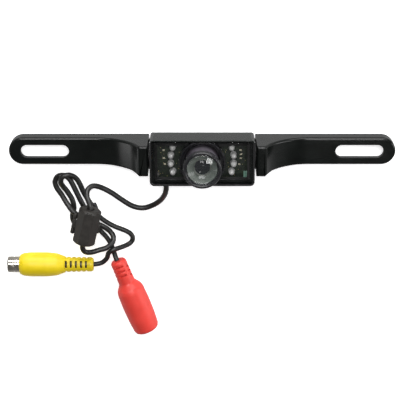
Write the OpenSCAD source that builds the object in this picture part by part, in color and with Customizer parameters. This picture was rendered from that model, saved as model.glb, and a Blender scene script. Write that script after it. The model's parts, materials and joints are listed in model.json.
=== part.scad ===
// Number-plate bar camera: a slotted mounting bar that carries a tilting camera
// housing with infrared lamps, on a thin cable with a clamp-on ferrite, a video
// socket and a power socket. It lies on its back. Units are millimetres.
// X runs along the bar, Y towards the camera's top edge, Z out of its front.
// The origin is below the housing, in the plane of the bar's back face.

/* [Mounting bar] */
// Overall length of the bar
bar_l = 198; // [194:1:204]
// Height of each arm, across the slot
arm_h = 14.4; // [13.8:0.1:15]
// Thickness of each arm, front to back
arm_t = 7.5; // [7:0.1:8.5]
// Distance between the centres of the two slots
slot_pitch = 161; // [158:1:164]
// End-to-end length of each slot
slot_l = 24.6; // [22:0.2:26]
// Width of each slot
slot_w = 6.5; // [6:0.1:7]

/* [Camera housing] */
// Width of the housing
housing_w = 52.6; // [52:0.2:53]
// Height of the housing
housing_h = 24.2; // [24:0.1:25]
// Height of the window's front face above the bar's back plane
face_z = 25; // [24.8:0.1:25.6]
// Height of the tilt axis above the bar's back plane
pivot_z = 12.5; // [12.3:0.1:12.8]
// Radius of the rear edges, top and bottom
rear_r = 8; // [7:0.2:8.4]

/* [Lens] */
// Outer radius of the lens barrel
barrel_r = 8.3; // [8:0.1:8.5]
// Height of the barrel's front rim above the bar's back plane
barrel_top = 36.6; // [34:0.2:38]
// Radius of the front glass
glass_r = 7.8; // [7.6:0.1:7.9]

/* [Lamps] */
// Radius of one infrared lamp
led_r = 1.5; // [1.4:0.1:1.6]

/* [Cable] */
// Radius of the main cable
cable_r = 1.4; // [1.3:0.05:1.4]
// Radius of the video and power leads
lead_r = 1.3; // [1.2:0.05:1.3]

/* [Hidden] */
$fn = 48;

// --- mounting bar ---
arm_y = 0.7;                       // the arms' centre line
arm_lo = arm_y - arm_h / 2;
arm_hi = arm_y + arm_h / 2;
knuckle_in = 27.2;                 // inner face of each knuckle
knuckle_z = 22.4;                  // front face of each knuckle
knuckle_lo = -8.1;                 // lower edge of each knuckle
knuckle_wall = 2.4;
sweep_x = 55;                      // where the arm starts to rise to the knuckle
sweep_r = 25;                      // radius of that rise
skin_t = 2.6;                      // front skin
rim_t = 2.2;                       // side walls
rib_t = 1.6;
rib_x = [40.5, 52.5, 63.5];
bridge_t = 2.5;
bridge_h = 11;
pivot_bore_r = 2.0;
shoulder_r = 1.95;

// --- housing ---
hx = housing_w / 2;
hy = housing_h / 2;
wall = 1.6;
back_z = 4.8;                      // rear face
window_t = 2.8;
seat_z = face_z - window_t;        // the window's seat
lip_t = 1.1;                       // top lip over the window
lip_z = face_z + 0.5;
corner_r = 2.2;
opening_r = 11.7;                  // round opening in the window
board_z = 15.6;                    // underside of the lamp board
board_t = 1.2;
led_z = board_z + board_t;
led_h = 4.6;
led_xy = [for (s = [-1, 1]) each [[14.8 * s, 6.45], [15.8 * s, 2.15], [15.8 * s, -2.15], [14.8 * s, -6.45]]];
boss_xy = [[-23, 8.3], [23, 8.3], [-23, -8.3]];
sensor_xy = [22.4, -8.1];
chip_xy = [[19.4, 4.4], [19.4, 2.2], [19.4, 0.2], [18.8, -3], [-19.4, 4.4], [-19.4, 0.2], [-18.8, -3]];
camera_board_z = 8;
camera_board_w = 16;
barrel_z = camera_board_z + board_t;
cone_depth = 6;                    // from the barrel's rim to the inner lens
cone_r = 7.5;                      // the barrel's wider bore behind the front glass
ring_r = 9.7;
gland_xz = [-18.4, 13];
gland_tip = -14.5;
inner_y = -7;                      // where the cable's jacket ends inside
plug_x = -9.6;                     // cable side of the internal connector

// --- ferrite, in its own frame: cable along Y, parting plane at Z = 0 ---
ferrite_at = [-59.7, -38.6, 11.8];
ferrite_turn = -13;
ferrite_l = 19.5;
ferrite_half = 5.8;                // half the width across the flats
core_r = 4.6;
core_bore = 2.1;
core_l = 15.4;
case_bore = 1.9;
hinge_at = [-6.95, 0];
hinge_r = 1.0;
hinge_pin_r = 0.5;
part_gap = 0.1;

// --- cable route, centre line, from the gland to the splice ---
main_route = [
    [-18.4, -15.6, 12.8], [-18.6, -19.2, 11.2], [-19.7, -23.2, 8.2], [-22, -27.2, 4.6],
    [-26, -30.7, 2], [-31, -32.4, 1.4], [-36.5, -31.3, 1.4], [-42, -27.8, 1.4],
    [-47.5, -23.8, 1.4], [-52.8, -20.9, 1.6], [-56.8, -19.5, 3.4], [-59.3, -20.8, 5.8],
    [-59.6, -23.6, 8.4], [-58.3, -26.4, 10.6], [-57.6, -29.4, 11.7], [-59.7, -38.6, 11.8],
    [-61.9, -48.1, 11.7], [-62.5, -51.2, 11], [-61.3, -53.8, 9.9], [-58.2, -54.5, 8.8],
    [-54.2, -53.7, 7.7], [-50.3, -52.8, 6.7], [-47.5, -50.8, 5], [-46.8, -47.9, 3.4],
    [-48.6, -45.2, 2.4], [-51.3, -42.8, 2.8], [-54.8, -40.3, 4.3], [-59, -38.3, 4.4],
    [-63.6, -36.1, 4.4], [-67.3, -33.5, 4.5], [-70.7, -29.4, 2.7], [-73.5, -24.9, 1.4],
    [-75.9, -21, 1.4], [-76.6, -17.6, 1.4], [-74.9, -14.8, 1.4], [-71.8, -14.4, 1.4],
    [-69.2, -16.2, 1.4], [-67.4, -19.6, 1.4], [-65.8, -23.3, 1.4], [-64.2, -27, 1.4],
    [-62.4, -31, 1.4], [-60.9, -35.2, 1.4], [-60.5, -39.4, 1.4], [-63.2, -42.6, 1.4],
    [-66.7, -41.5, 1.4], [-68.2, -37.6, 1.4], [-67.3, -32.2, 1.4], [-68.1, -27.6, 1.4],
    [-70.4, -23.3, 1.4], [-72.6, -19.9, 2.2], [-73.4, -17, 3.9], [-72.2, -14.1, 4.4],
    [-68.8, -13.4, 3.8], [-65.7, -15.6, 2], [-63.7, -19.2, 1.4], [-62.2, -23, 1.4],
    [-60.3, -26.8, 1.4], [-57.9, -30.9, 1.5]
];

// --- splice and the two leads ---
splice_from = [-58.2, -30.3, 1.5];
splice_turn = -72;
splice_l = 5.4;
splice_half = 1.35;                // half the distance between the leads
video_route = [
    [-55.4, -34.5, 1.3], [-53.8, -37.5, 1.3], [-50.4, -40.3, 1.3], [-46, -42.9, 1.3],
    [-41.2, -44.9, 1.3], [-38, -46.8, 1.3], [-36.7, -49.5, 1.3], [-38.1, -52.1, 1.6],
    [-42, -53.3, 4], [-46.6, -54, 6.6], [-49.3, -55.9, 6.4], [-50.4, -59.1, 6],
    [-53, -61.5, 6.1], [-56.4, -62.3, 6.4], [-59.4, -62.4, 6.4]
];
power_route = [
    [-58.1, -35, 1.3], [-57.1, -38.4, 1.3], [-55.8, -42, 1.3], [-53.6, -45.4, 1.3],
    [-51, -48.4, 1.3], [-49, -51.3, 1.7], [-47.6, -53.9, 3.1], [-46.4, -56.5, 5.3],
    [-45.3, -59, 7], [-44, -61.6, 7.5]
];

// --- video socket, axis along X ---
rca_axis = [-57.4, -62.4, 6.4];      // cable end of the body
rca_l = 39;
rca_shell_r = 4.2;
rca_shell_out = 6.2;
rca_seat_r = 4.0;                  // the part of the shell inside the body
rca_slots = [3.3, 5.95, 8.6, 11.25, 13.9];
rca_roll = 20;                     // the slots' turn about the socket's axis

// --- power socket, own axis along +X from its cable end ---
dc_from = [-44.6, -59.6, 7.5];
dc_turn = -69.4;
dc_l = 43;
dc_socket_r = 2.9;
dc_pin_r = 1.0;
dc_slots = [2.4, 5.0, 7.6];

// ---------- helpers ----------
module along_x(l) { rotate([90, 0, 90]) linear_extrude(l) children(); }
module along_y(l) { rotate([90, 0, 0]) linear_extrude(l, center = true) children(); }
module rod_y(r, l) { rotate([90, 0, 0]) cylinder(r = r, h = l, center = true); }
module rod_x(r, l) { rotate([0, 90, 0]) cylinder(r = r, h = l); }
module both_sides() { children(); mirror([1, 0, 0]) children(); }
module ring(r_out, r_in, h) {
    difference() {
        cylinder(r = r_out, h = h);
        translate([0, 0, -1]) cylinder(r = r_in, h = h + 2);
    }
}
module rounded_rect(x0, y0, x1, y1, r) {
    translate([x0 + r, y0]) square([x1 - x0 - 2 * r, y1 - y0]);
    translate([x0, y0 + r]) square([x1 - x0, y1 - y0 - 2 * r]);
    for (x = [x0 + r, x1 - r], y = [y0 + r, y1 - r]) translate([x, y]) circle(r);
}
module stadium(half_gap, r) {
    translate([-half_gap, -r]) square([2 * half_gap, 2 * r]);
    for (x = [-half_gap, half_gap]) translate([x, 0]) circle(r);
}

// a cord: an eight-sided tube swept along a route
function unit(v) = v / norm(v);
function tangent(p, i) = unit(p[min(i + 1, len(p) - 1)] - p[max(i - 1, 0)]);
function sideways(t) = unit(cross(t, [0, 0, 1]));
function cord_ring(p, i, r, n) =
    let (t = tangent(p, i), u = sideways(t), w = cross(u, t))
    [for (k = [0:n - 1]) p[i] + r * (cos(360 * k / n) * u + sin(360 * k / n) * w)];
module cord(route, r) {
    n = 8;
    m = len(route);
    points = [for (i = [0:m - 1]) each cord_ring(route, i, r, n)];
    sides = [for (i = [0:m - 2], k = [0:n - 1])
        let (a = i * n + k, b = i * n + (k + 1) % n) each [[a, a + n, b], [b, a + n, b + n]]];
    start = [[for (k = [0:n - 1]) k]];
    end = [[for (k = [n - 1:-1:0]) (m - 1) * n + k]];
    polyhedron(points = points, faces = concat(start, sides, end));
}

// ---------- mounting bar ----------
module arm_outline() {
    polygon([
        [knuckle_in - 0.2, knuckle_lo], [31.6, knuckle_lo], [35.5, -7], [48, arm_lo],
        [bar_l / 2 - arm_h / 2, arm_lo], [bar_l / 2 - arm_h / 2, arm_hi], [knuckle_in - 0.2, arm_hi]
    ]);
    translate([bar_l / 2 - arm_h / 2, arm_y]) circle(arm_h / 2, $fn = 96);
}
module pocket_outline() {
    end_x = bar_l / 2 - arm_h / 2;
    inner_x = knuckle_in + knuckle_wall;
    translate([inner_x, arm_lo + rim_t]) square([end_x - inner_x, arm_h - 2 * rim_t]);
    translate([end_x, arm_y]) circle(arm_h / 2 - rim_t, $fn = 64);
}
module arm_side_profile(x0, top, inset, low) {
    difference() {
        translate([x0, low]) square([bar_l / 2 - x0 + 1, top - low]);
        translate([sweep_x, arm_t + sweep_r]) circle(sweep_r + inset, $fn = 128);
        translate([sweep_x, arm_t - inset]) square([bar_l, knuckle_z]);
    }
}
module arm() {
    difference() {
        intersection() {
            linear_extrude(knuckle_z + 1) arm_outline();
            along_y(60) arm_side_profile(knuckle_in, knuckle_z, 0, 0);
        }
        difference() {
            intersection() {
                translate([0, 0, -1]) linear_extrude(knuckle_z) pocket_outline();
                along_y(60) arm_side_profile(knuckle_in, knuckle_z - skin_t, skin_t, -1);
            }
            for (x = rib_x) translate([x, -10, -2]) cube([rib_t, 20, 20]);
        }
        translate([slot_pitch / 2, arm_y, -1]) linear_extrude(arm_t + 2)
            stadium(slot_l / 2 - slot_w / 2, slot_w / 2);
        translate([knuckle_in - 1, 0, pivot_z]) rod_x(pivot_bore_r, knuckle_wall + 2);
    }
}
module mounting_bar() color([0.06, 0.065, 0.065]) {
    both_sides() arm();
    translate([-knuckle_in - 1, -bridge_h / 2, 0]) cube([2 * knuckle_in + 2, bridge_h, bridge_t]);
}

// ---------- housing ----------
module housing_block(inset, top) {
    y = hy - inset;
    r = rear_r - inset;
    x = hx - inset;
    intersection() {
        translate([-x, 0, 0]) along_x(2 * x) {
            translate([-y, back_z + rear_r]) square([2 * y, top - back_z - rear_r]);
            translate([-y + r, back_z + inset]) square([2 * y - 2 * r, rear_r]);
            for (s = [-1, 1]) translate([s * (y - r), back_z + rear_r]) circle(r, $fn = 96);
        }
        linear_extrude(top + 1) rounded_rect(-x, -y, x, y, corner_r - min(inset, 1.2));
    }
}
module rear_housing() color([0.07, 0.07, 0.075]) {
    difference() {
        housing_block(0, lip_z);
        housing_block(wall, seat_z - 1.2);
        translate([-hx + 2.6, -hy + 2.6, seat_z - 2]) cube([2 * hx - 5.2, 2 * hy - 5.2, 3]);
        intersection() {
            translate([0, 0, seat_z - 2]) cylinder(r = opening_r, h = 3);
            translate([-20, -hy + wall, 0]) cube([40, 2 * hy - 2 * wall, 40]);
        }
        translate([-hx - 1, -hy - 1, seat_z]) cube([2 * hx + 2, 2 * hy + 1 - lip_t, 10]);
        both_sides() translate([hx - 6, 0, pivot_z]) rod_x(2.3, 10);
        translate([gland_xz[0], -hy + 4, gland_xz[1]]) rotate([90, 0, 0]) cylinder(r = 2.2, h = 10);
    }
    intersection() {
        housing_block(0.8, seat_z);
        union() {
            for (p = boss_xy) translate([p[0], p[1], back_z + 0.5]) difference() {
                cylinder(r = 2.2, h = board_z - back_z - 0.5);
                translate([0, 0, 3]) cylinder(r = 0.8, h = board_z);
            }
            both_sides() translate([hx - wall - 3.4, 0, pivot_z]) rotate([0, 90, 0]) ring(2.95, 2.3, 3.5);
        }
    }
}
module front_window() color([0.1, 0.1, 0.12, 0.55]) {
    difference() {
        intersection() {
            translate([0, 0, seat_z]) linear_extrude(window_t) rounded_rect(-hx, -hy, hx, hy + 3, corner_r);
            translate([-hx, -hy, 0]) cube([2 * hx, 2 * hy - lip_t - 0.1, 40]);
        }
        translate([0, 0, seat_z - 1]) cylinder(r = opening_r, h = window_t + 2);
    }
}
module window_gasket() color([0.03, 0.03, 0.03]) {
    translate([0, 0, seat_z - 0.6]) linear_extrude(0.6) difference() {
        translate([-hx + 2.6, -hy + 2.6]) square([2 * hx - 5.2, 2 * hy - 5.2]);
        translate([-hx + 3.8, -hy + 3.8]) square([2 * hx - 7.6, 2 * hy - 7.6]);
        circle(opening_r);
    }
}
module lamp_board() color([0.05, 0.14, 0.09]) {
    translate([0, 0, board_z]) linear_extrude(board_t) difference() {
        square([2 * hx - 4.2, 2 * hy - 4.2], center = true);
        circle(barrel_r + 0.3);
        for (p = boss_xy) translate(p) circle(0.9);
    }
}
module infrared_lamps() color([0.85, 0.87, 0.9, 0.7]) {
    for (p = led_xy) translate([p[0], p[1], led_z]) {
        cylinder(r = led_r + 0.25, h = 0.9);
        cylinder(r = led_r, h = led_h - led_r);
        translate([0, 0, led_h - led_r]) sphere(led_r);
    }
}
module lamp_resistors() color([0.75, 0.72, 0.62]) {
    for (p = chip_xy) translate([p[0] - 0.8, p[1] - 0.4, led_z]) cube([1.6, 0.8, 0.5]);
}
module light_sensor() color([0.2, 0.45, 0.42]) {
    translate([sensor_xy[0] - 1.5, sensor_xy[1] - 1.5, led_z]) {
        cube([3, 3, 1.2]);
        translate([1.5, 1.5, 1.2]) cylinder(r = 0.9, h = 0.5);
    }
}
module board_screws() color([0.7, 0.7, 0.68]) {
    for (p = boss_xy) translate([p[0], p[1], led_z]) {
        difference() {
            cylinder(r = 1.4, h = 0.9);
            translate([-1.1, -0.2, 0.5]) cube([2.2, 0.4, 1]);
            translate([-0.2, -1.1, 0.5]) cube([0.4, 2.2, 1]);
        }
        translate([0, 0, -6]) cylinder(r = 0.8, h = 6);
    }
}
module light_shroud() color([0.05, 0.05, 0.05]) {
    intersection() {
        translate([0, 0, led_z]) difference() {
            union() {
                cylinder(r = 10.0, h = 1.2);
                translate([0, 0, 4]) cylinder(r = opening_r - 0.1, h = face_z + 0.4 - led_z - 4);
                translate([0, 0, 1]) cylinder(r = 9.9, h = 4);
            }
            translate([0, 0, -1]) cylinder(r = 9.0, h = 20);
            translate([0, 0, 5.2]) cylinder(r = 10.9, h = 20);
        }
        union() {
            translate([-20, -20, seat_z]) cube([40, 20 + hy - lip_t - 0.2, 20]);
            translate([-20, -hy + wall + 0.1, 0]) cube([40, 2 * hy - 2 * wall - 0.2, seat_z]);
        }
    }
}

// ---------- lens and camera module ----------
module lens_barrel() color([0.08, 0.08, 0.085]) {
    translate([0, 0, barrel_z]) difference() {
        union() {
            cylinder(r = barrel_r, h = barrel_top - 2.6 - barrel_z);
            cylinder(r = barrel_r + 0.7, h = 1.4);
        }
        translate([0, 0, -1]) cylinder(r = 6.7, h = 60);
        translate([0, 0, barrel_top - cone_depth - barrel_z]) cylinder(r = cone_r, h = 10);
    }
}
module barrel_seal() color([0.02, 0.02, 0.02]) {
    translate([0, 0, led_z + 0.5]) rotate_extrude() translate([barrel_r + 0.35, 0]) circle(0.35);
}
module lens_ring() color([0.04, 0.04, 0.04]) {
    translate([0, 0, barrel_top - 2.6]) rotate_extrude($fn = 96) polygon([
        [glass_r, 0], [ring_r, 0], [ring_r, 1.7], [ring_r - 0.7, 2.6], [glass_r + 0.5, 2.6],
        [glass_r, 2.1]
    ]);
}
module front_glass() color([0.6, 0.66, 0.66, 0.4]) {
    dome_r = 36;
    rim = barrel_top - 1.0;
    intersection() {
        translate([0, 0, rim - 1.2]) cylinder(r = glass_r, h = 3);
        translate([0, 0, rim + 0.75 - dome_r]) sphere(dome_r, $fn = 128);
    }
}
module lens_cone() color([0.12, 0.12, 0.12]) {
    translate([0, 0, barrel_top - cone_depth]) rotate_extrude() polygon([
        [3.8, 0], [cone_r, 0], [cone_r, 3.6], [cone_r - 0.2, 3.6], [4.2, 0.6]
    ]);
}
module lens_cell() color([0.1, 0.1, 0.1]) {
    translate([0, 0, barrel_z + 4]) difference() {
        cylinder(r = 6.7, h = barrel_top - cone_depth - barrel_z - 4);
        translate([0, 0, -1]) cylinder(r = 3.8, h = 40);
    }
}
module inner_lens() color([0.5, 0.6, 0.62, 0.5]) {
    intersection() {
        translate([0, 0, barrel_top - cone_depth - 4]) cylinder(r = 3.8, h = 5);
        translate([0, 0, barrel_top - cone_depth - 6.2]) sphere(7, $fn = 64);
    }
}
module rear_lens() color([0.5, 0.6, 0.62, 0.5]) {
    translate([0, 0, barrel_z + 5]) cylinder(r = 3.8, h = 2.4);
}
module image_sensor() color([0.15, 0.15, 0.2]) {
    translate([-3, -2.6, barrel_z]) cube([6, 5.2, 1.1]);
}
module sensor_board() color([0.05, 0.25, 0.12]) {
    translate([-camera_board_w / 2, -camera_board_w / 2, camera_board_z])
        cube([camera_board_w, camera_board_w, board_t]);
}
module board_connector() color([0.85, 0.83, 0.75]) {
    translate([-8.2, -4, camera_board_z - 1.5]) difference() {
        cube([4, 6, 1.5]);
        translate([-1, 0.7, 0.4]) cube([4, 4.6, 0.8]);
    }
}
module cable_connector() color([0.9, 0.88, 0.82]) {
    translate([plug_x, -3.2, camera_board_z - 1.1]) cube([4.3, 4.4, 0.8]);
}
module inner_cable() color([0.1, 0.1, 0.1]) {
    translate([gland_xz[0], inner_y, gland_xz[1]]) {
        rotate([90, 0, 0]) cylinder(r = cable_r, h = hy - 0.2 + inner_y);
        sphere(cable_r);
    }
    translate([gland_xz[0], inner_y, camera_board_z - 0.4]) cylinder(r = 0.7, h = gland_xz[1] - camera_board_z);
    translate([gland_xz[0] - 0.6, inner_y - 0.4, camera_board_z - 0.75]) cube([1.2, 8.3, 1.2]);
    for (k = [0:3]) translate([gland_xz[0], -2.5 + k, camera_board_z - 0.7])
        rod_x(0.25, plug_x - gland_xz[0]);
}

// ---------- tilt joint ----------
module pivot_inserts() color([0.72, 0.58, 0.28]) {
    both_sides() translate([hx - wall - 3.3, 0, pivot_z]) rotate([0, 90, 0]) ring(2.3, 1.45, wall + 3.3);
}
module pivot_screws() color([0.55, 0.55, 0.55]) {
    both_sides() translate([0, 0, pivot_z]) difference() {
        union() {
            translate([hx - 4, 0, 0]) rod_x(1.45, 4.5);
            translate([hx, 0, 0]) rod_x(shoulder_r, knuckle_in + knuckle_wall + 0.2 - hx);
            translate([knuckle_in + knuckle_wall + 0.2, 0, 0]) rod_x(2.7, 2);
        }
        translate([knuckle_in + knuckle_wall + 1, 0, 0]) rotate([0, 90, 0]) cylinder(r = 1.2, h = 4, $fn = 6);
    }
}
module friction_washers() color([0.04, 0.04, 0.04]) {
    both_sides() translate([hx, 0, pivot_z]) rotate([0, 90, 0]) ring(6.8, shoulder_r, 0.8);
}
module cable_gland() color([0.05, 0.05, 0.05]) {
    translate([gland_xz[0], gland_tip, gland_xz[1]]) rotate([-90, 0, 0]) rotate_extrude() polygon([
        [cable_r, 0], [1.9, 0], [2.2, 2.0], [2.2, 4.5], [2.35, 4.5], [2.35, 5.3], [cable_r, 5.3]
    ]);
}

// ---------- cables ----------
module main_cable() color([0.06, 0.06, 0.065]) cord(main_route, cable_r);
module video_lead() color([0.06, 0.06, 0.065]) cord(video_route, lead_r);
module power_lead() color([0.06, 0.06, 0.065]) cord(power_route, lead_r);
module splice_sleeve() color([0.04, 0.04, 0.04]) {
    translate(splice_from) rotate([0, 0, splice_turn]) rotate([90, 0, 90])
        linear_extrude(splice_l) stadium(splice_half, 1.5);
}

// ---------- ferrite ----------
module at_ferrite() translate(ferrite_at) rotate([0, 0, ferrite_turn]) children();
module ferrite_block() {
    intersection() {
        along_y(ferrite_l) rotate(22.5) circle(ferrite_half / cos(22.5), $fn = 8);
        rotate([90, 0, 0]) rotate_extrude() polygon([
            [0, -ferrite_l / 2], [4.7, -ferrite_l / 2], [7.2, -ferrite_l / 2 + 1.9],
            [7.2, ferrite_l / 2 - 1.9], [4.7, ferrite_l / 2], [0, ferrite_l / 2]
        ]);
    }
}
module ferrite_hollow() {
    rod_y(core_r, core_l);
    rod_y(case_bore, 40);
}
module hinge_knuckle(y0, l, up) {
    translate([hinge_at[0], y0 + l, 0]) rotate([90, 0, 0]) cylinder(r = hinge_r, h = l);
    translate([hinge_at[0], y0, up > 0 ? part_gap : -hinge_r]) cube([1.6, l, hinge_r - part_gap]);
}
module hinge_bore() translate([hinge_at[0], 0, 0]) rod_y(hinge_pin_r + 0.05, 30);
module ferrite_case_base() color([0.2, 0.19, 0.18]) at_ferrite() difference() {
    union() {
        difference() {
            ferrite_block();
            ferrite_hollow();
            translate([-10, -15, 0]) cube([20, 30, 10]);
        }
        hinge_knuckle(-5.5, 2.8, -1);
        hinge_knuckle(2.7, 2.8, -1);
        translate([ferrite_half - 0.2, -2.5, -3.4]) cube([0.8, 5, 1]);
    }
    hinge_bore();
}
module ferrite_case_lid() color([0.22, 0.21, 0.2]) at_ferrite() difference() {
    union() {
        difference() {
            ferrite_block();
            ferrite_hollow();
            translate([-10, -15, -10 + part_gap]) cube([20, 30, 10]);
        }
        hinge_knuckle(-2.5, 5, 1);
        translate([ferrite_half + 0.15, -2.2, -2.2]) cube([0.7, 4.4, 4.2]);
        translate([ferrite_half - 0.3, -2.2, part_gap]) cube([1.1, 4.4, 1.9]);
    }
    hinge_bore();
}
module ferrite_hinge_pin() color([0.6, 0.6, 0.6]) at_ferrite()
    translate([hinge_at[0], 0, 0]) rod_y(hinge_pin_r, 11);
module core_half() difference() {
    rod_y(core_r, core_l);
    rod_y(core_bore, core_l + 2);
    translate([-10, -15, -part_gap / 2]) cube([20, 30, 10]);
}
module ferrite_core_base() color([0.12, 0.12, 0.13]) at_ferrite() core_half();
module ferrite_core_lid() color([0.12, 0.12, 0.13]) at_ferrite() mirror([0, 0, 1]) core_half();

// ---------- video socket ----------
module at_video_socket() translate(rca_axis) rotate([0, -90, 0]) children();
module slot_row(from_axis, places, width, depth, reach) {
    for (a = places, s = [-1, 1]) translate([s * from_axis - (s > 0 ? 0 : depth), -reach, a])
        cube([depth, 2 * reach, width]);
}
module video_socket_body() color([0.9, 0.83, 0.06]) at_video_socket() difference() {
    rotate_extrude($fn = 96) polygon([
        [0, 0], [3.1, 0], [3.8, 0.9], [4.05, 14.4],
        [5.9, 19.4], [6.4, 24.5], [6.4, 33.5], [6.0, 37], [5.2, 38.6], [4.6, rca_l], [0, rca_l]
    ]);
    translate([0, 0, -1]) cylinder(r = lead_r, h = 4);
    translate([0, 0, rca_l - 8]) cylinder(r = rca_seat_r, h = 9);
    for (turn = [0, 90]) rotate(turn + rca_roll) slot_row(2.6, rca_slots, 1.0, 3, 1.9);
}
module video_socket_shell() color([0.75, 0.73, 0.68]) at_video_socket() translate([0, 0, rca_l - 8]) difference() {
    union() {
        cylinder(r = rca_seat_r, h = 8);
        translate([0, 0, 8]) cylinder(r = rca_shell_r, h = rca_shell_out);
    }
    translate([0, 0, -1]) cylinder(r = 3.4, h = 20);
}
module video_socket_insulator() color([0.92, 0.91, 0.88]) at_video_socket()
    translate([0, 0, rca_l - 8]) ring(3.4, 1.6, 8 + rca_shell_out - 0.8);
module video_socket_contact() color([0.78, 0.75, 0.68]) at_video_socket()
    translate([0, 0, rca_l - 8]) difference() {
        cylinder(r = 1.6, h = 8 + rca_shell_out - 1.4);
        translate([0, 0, 3]) cylinder(r = 1.15, h = 20);
        translate([-0.15, -3, 6]) cube([0.3, 6, 20]);
    }

// ---------- power socket ----------
module at_power_socket() translate(dc_from) rotate([0, 0, dc_turn]) rotate([0, 90, 0]) children();
module power_socket_body() color([0.9, 0.25, 0.18]) at_power_socket() difference() {
    rotate_extrude($fn = 96) polygon([
        [0, 0], [3.4, 0], [4.2, 1.0], [4.4, 13.4], [5.4, 14.8], [6.7, 16.6], [7.2, 18.4],
        [7.5, 26], [7.3, 35], [6.8, 41.2], [6.2, 42.5], [5.2, dc_l], [0, dc_l]
    ]);
    translate([0, 0, -1]) cylinder(r = lead_r, h = 4);
    translate([0, 0, dc_l - 13]) cylinder(r = 3.9, h = 14);
    slot_row(2.9, dc_slots, 1.0, 3, 2.2);
    rotate(90) slot_row(2.9, [for (s = dc_slots) s + 1.3], 1.0, 3, 2.2);
}
module power_socket_insulator() color([0.03, 0.03, 0.03]) at_power_socket()
    translate([0, 0, dc_l - 13]) difference() {
        cylinder(r = 3.9, h = 12.6);
        translate([0, 0, 2]) cylinder(r = dc_socket_r, h = 20);
        translate([0, 0, -1]) cylinder(r = dc_pin_r - 0.3, h = 4);
        translate([2.2, -1, 3]) cube([1.2, 2, 7]);
    }
module power_socket_spring() color([0.75, 0.74, 0.7]) at_power_socket()
    translate([2.9, -1, dc_l - 10]) cube([0.5, 2, 7]);
module power_socket_pin() color([0.8, 0.79, 0.75]) at_power_socket() translate([0, 0, dc_l - 13]) {
    cylinder(r = dc_pin_r - 0.3, h = 2);
    translate([0, 0, 2]) cylinder(r = dc_pin_r, h = 8.4);
    translate([0, 0, 10.4]) sphere(dc_pin_r);
}

mounting_bar();
rear_housing();
front_window();
window_gasket();
lamp_board();
infrared_lamps();
lamp_resistors();
light_sensor();
board_screws();
light_shroud();
lens_barrel();
barrel_seal();
lens_ring();
front_glass();
lens_cone();
lens_cell();
inner_lens();
rear_lens();
image_sensor();
sensor_board();
board_connector();
cable_connector();
inner_cable();
pivot_inserts();
pivot_screws();
friction_washers();
cable_gland();
main_cable();
splice_sleeve();
video_lead();
power_lead();
ferrite_case_base();
ferrite_case_lid();
ferrite_hinge_pin();
ferrite_core_base();
ferrite_core_lid();
video_socket_body();
video_socket_shell();
video_socket_insulator();
video_socket_contact();
power_socket_body();
power_socket_insulator();
power_socket_spring();
power_socket_pin();
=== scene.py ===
# Backup camera on a slotted mounting bar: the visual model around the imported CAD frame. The
# scene is in metres, in the CAD frame: X along the bar, Y to the camera's top edge, Z out of its
# front. The bar lies on its back at z = 0.
import json
import math
import random

import bmesh
import bpy
from mathutils import Matrix, Vector


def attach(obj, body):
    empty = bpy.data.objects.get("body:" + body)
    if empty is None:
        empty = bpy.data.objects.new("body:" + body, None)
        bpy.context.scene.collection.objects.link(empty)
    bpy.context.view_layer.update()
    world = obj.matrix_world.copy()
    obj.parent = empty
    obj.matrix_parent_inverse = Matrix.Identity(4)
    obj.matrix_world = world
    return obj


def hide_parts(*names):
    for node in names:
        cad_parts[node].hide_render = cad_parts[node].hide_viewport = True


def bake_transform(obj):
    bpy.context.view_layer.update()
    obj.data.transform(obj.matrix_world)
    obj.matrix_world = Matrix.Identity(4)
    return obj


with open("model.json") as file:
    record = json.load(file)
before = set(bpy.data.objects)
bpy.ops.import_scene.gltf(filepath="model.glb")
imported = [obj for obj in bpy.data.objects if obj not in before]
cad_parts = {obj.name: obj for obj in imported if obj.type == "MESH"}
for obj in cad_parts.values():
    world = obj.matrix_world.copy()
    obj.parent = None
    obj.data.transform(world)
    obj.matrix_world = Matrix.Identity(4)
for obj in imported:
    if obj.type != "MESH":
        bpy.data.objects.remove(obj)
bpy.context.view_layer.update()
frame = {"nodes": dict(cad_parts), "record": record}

MM = 0.001
NODES = frame["nodes"]
SLOT_OF = {part["node"]: part["material_slot"] for part in frame["record"]["subparts"]}
random.seed(7)

# ---------------------------------------------------------------- camera
VIEW_TILT = math.radians(20)
VIEW_TARGET = Vector((-1.1, -28.5, 0)) * MM
VIEW_DISTANCE = 650 * MM
SENSOR = 36.0
PICTURE_PIXELS = 400
FOCAL_PIXELS = 1238

view_back = Vector((0, math.sin(VIEW_TILT), math.cos(VIEW_TILT)))
view_up = Vector((0, math.cos(VIEW_TILT), -math.sin(VIEW_TILT)))
camera_data = bpy.data.cameras.new("camera")
camera_data.sensor_width = SENSOR
camera_data.lens = SENSOR * FOCAL_PIXELS / PICTURE_PIXELS
camera_data.clip_start = 0.01
camera_data.clip_end = 20
camera = bpy.data.objects.new("camera", camera_data)
bpy.context.scene.collection.objects.link(camera)
axes = Matrix((Vector((1, 0, 0)), view_up, view_back)).transposed()
camera.matrix_world = Matrix.Translation(VIEW_TARGET + VIEW_DISTANCE * view_back) @ axes.to_4x4()
bpy.context.scene.camera = camera


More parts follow.
